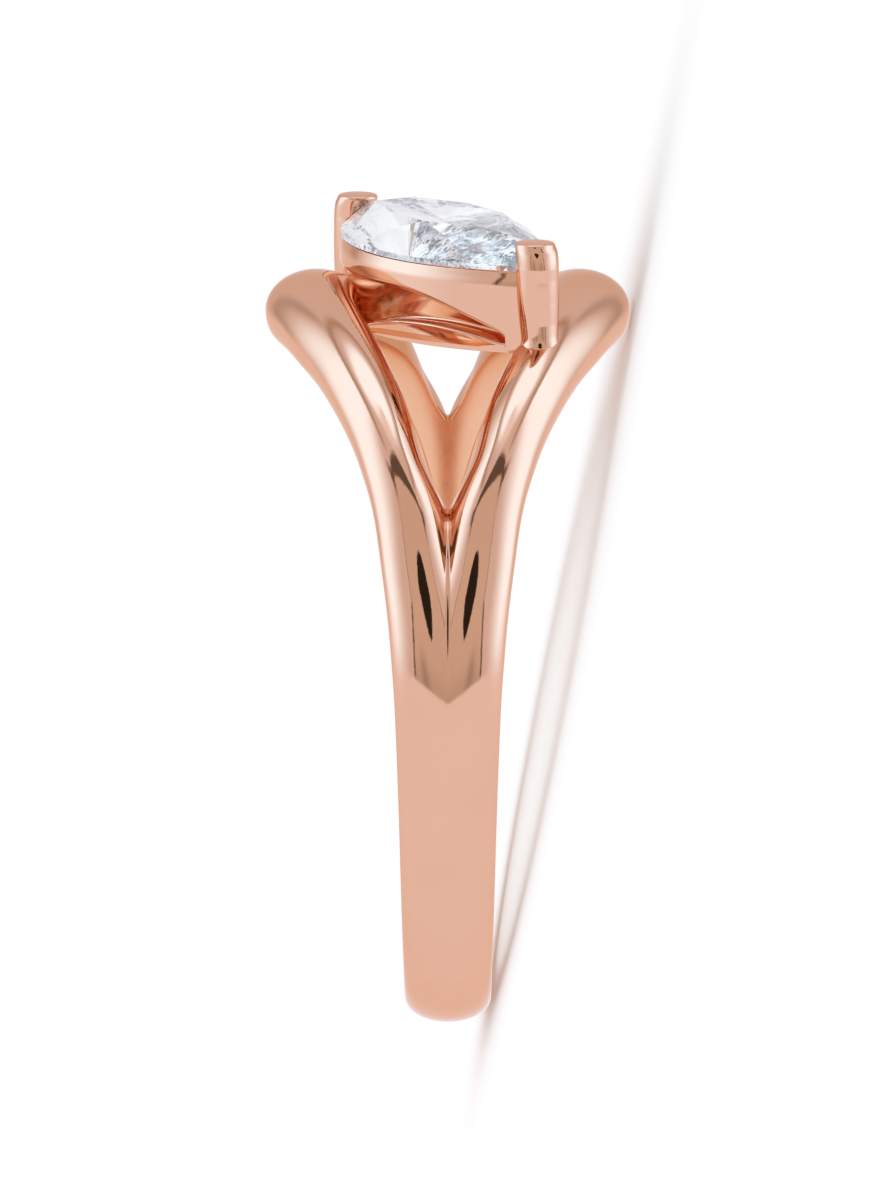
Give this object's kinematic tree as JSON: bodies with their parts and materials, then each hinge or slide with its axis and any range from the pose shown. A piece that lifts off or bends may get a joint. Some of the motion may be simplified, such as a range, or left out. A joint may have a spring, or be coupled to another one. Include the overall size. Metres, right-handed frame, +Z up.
{
  "type": "solitaire engagement ring",
  "caption": "Rose gold finger ring whose domed band splits into two strands that carry a pointed-oval stone in a diagonal basket with corner prongs.",
  "frame": {"origin": "middle of the ring's bounding box, on the surface that the ring lies on", "axes": "+X towards the stone, +Y across the finger hole, +Z up from the surface; the finger axis leans 11.5 degrees from +Z towards -X"},
  "size_m": [0.0224, 0.0206, 0.0099],
  "materials": {
    "gold": "polished rose gold",
    "stone": "cut and polished, colourless"
  },
  "bodies": {
    "root": {"mounting": "gold", "diamond": "stone"}
  },
  "joints": []
}
